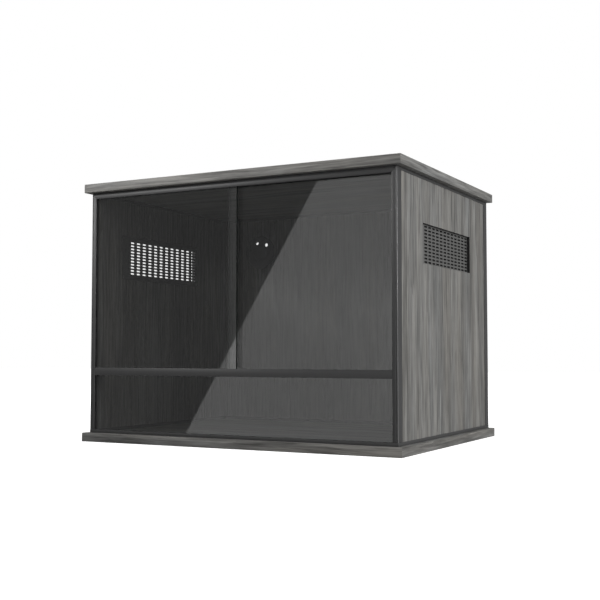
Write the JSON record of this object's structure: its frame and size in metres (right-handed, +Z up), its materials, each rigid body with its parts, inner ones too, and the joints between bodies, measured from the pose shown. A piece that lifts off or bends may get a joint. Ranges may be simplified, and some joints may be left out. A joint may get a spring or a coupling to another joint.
{
  "type": "terrarium cabinet",
  "caption": "Wood-look terrarium cabinet with sliding glass doors over a fixed front pane, slotted side vents and a turning cable outlet in the back.",
  "frame": {"origin": "centre of the base board's underside", "axes": "+X to the right seen from the front, -Y towards the front, +Z up"},
  "size_m": [0.6, 0.45, 0.45],
  "materials": {
    "board": "dark grey oak foil with fine grain along the board, satin",
    "panel": "dark grey oak foil with upright grain, satin",
    "profile": "charcoal extruded profile, satin",
    "glass": "clear float glass with ground edges",
    "grille": "grey moulded grille close to the panel in tone, fine matt",
    "gland": "black moulded plastic, satin",
    "screw": "zinc plated steel"
  },
  "bodies": {
    "cabinet": {"base_board": "board", "top_board": "board", "back_panel": "panel", "left_side_panel": "panel", "front_left_post": "profile", "rear_left_post": "profile", "left_base_channel": "profile", "left_top_channel": "profile", "left_vent_grille": "grille", "right_side_panel": "panel", "front_right_post": "profile", "rear_right_post": "profile", "right_base_channel": "profile", "right_top_channel": "profile", "right_vent_grille": "grille", "rear_base_channel": "profile", "rear_top_channel": "profile", "upper_door_track": "profile", "lower_door_track": "profile", "front_glass_channel": "profile", "lower_front_glass": "glass", "cable_gland_ring": "gland", "left_base_channel_screw_1": "screw", "left_base_channel_screw_2": "screw", "left_top_channel_screw_1": "screw", "left_top_channel_screw_2": "screw", "left_vent_screw_1": "screw", "left_vent_screw_2": "screw", "left_vent_screw_3": "screw", "left_vent_screw_4": "screw", "right_base_channel_screw_1": "screw", "right_base_channel_screw_2": "screw", "right_top_channel_screw_1": "screw", "right_top_channel_screw_2": "screw", "right_vent_screw_1": "screw", "right_vent_screw_2": "screw", "right_vent_screw_3": "screw", "right_vent_screw_4": "screw", "rear_base_channel_screw_1": "screw", "rear_base_channel_screw_2": "screw", "rear_top_channel_screw_1": "screw", "rear_top_channel_screw_2": "screw", "upper_track_screw_1": "screw", "upper_track_screw_2": "screw", "upper_track_screw_3": "screw", "front_channel_screw_1": "screw", "front_channel_screw_2": "screw", "front_channel_screw_3": "screw"},
    "left_door": {"left_door_glass": "glass"},
    "right_door": {"right_door_glass": "glass"},
    "gland_cap": {"cable_gland_cap": "gland"}
  },
  "joints": [
    {"name": "left_door_slide", "type": "slide", "parent": "cabinet", "child": "left_door", "axis": [1, 0, 0], "range_m": [-0.0035, 0.2805]},
    {"name": "right_door_slide", "type": "slide", "parent": "cabinet", "child": "right_door", "axis": [1, 0, 0], "range_m": [-0.268, 0]},
    {"name": "gland_cap_turn", "type": "hinge", "parent": "cabinet", "child": "gland_cap", "pos_m": [-0.196, 0.2106, 0.363], "axis": [0, 1, 0], "continuous": true}
  ]
}
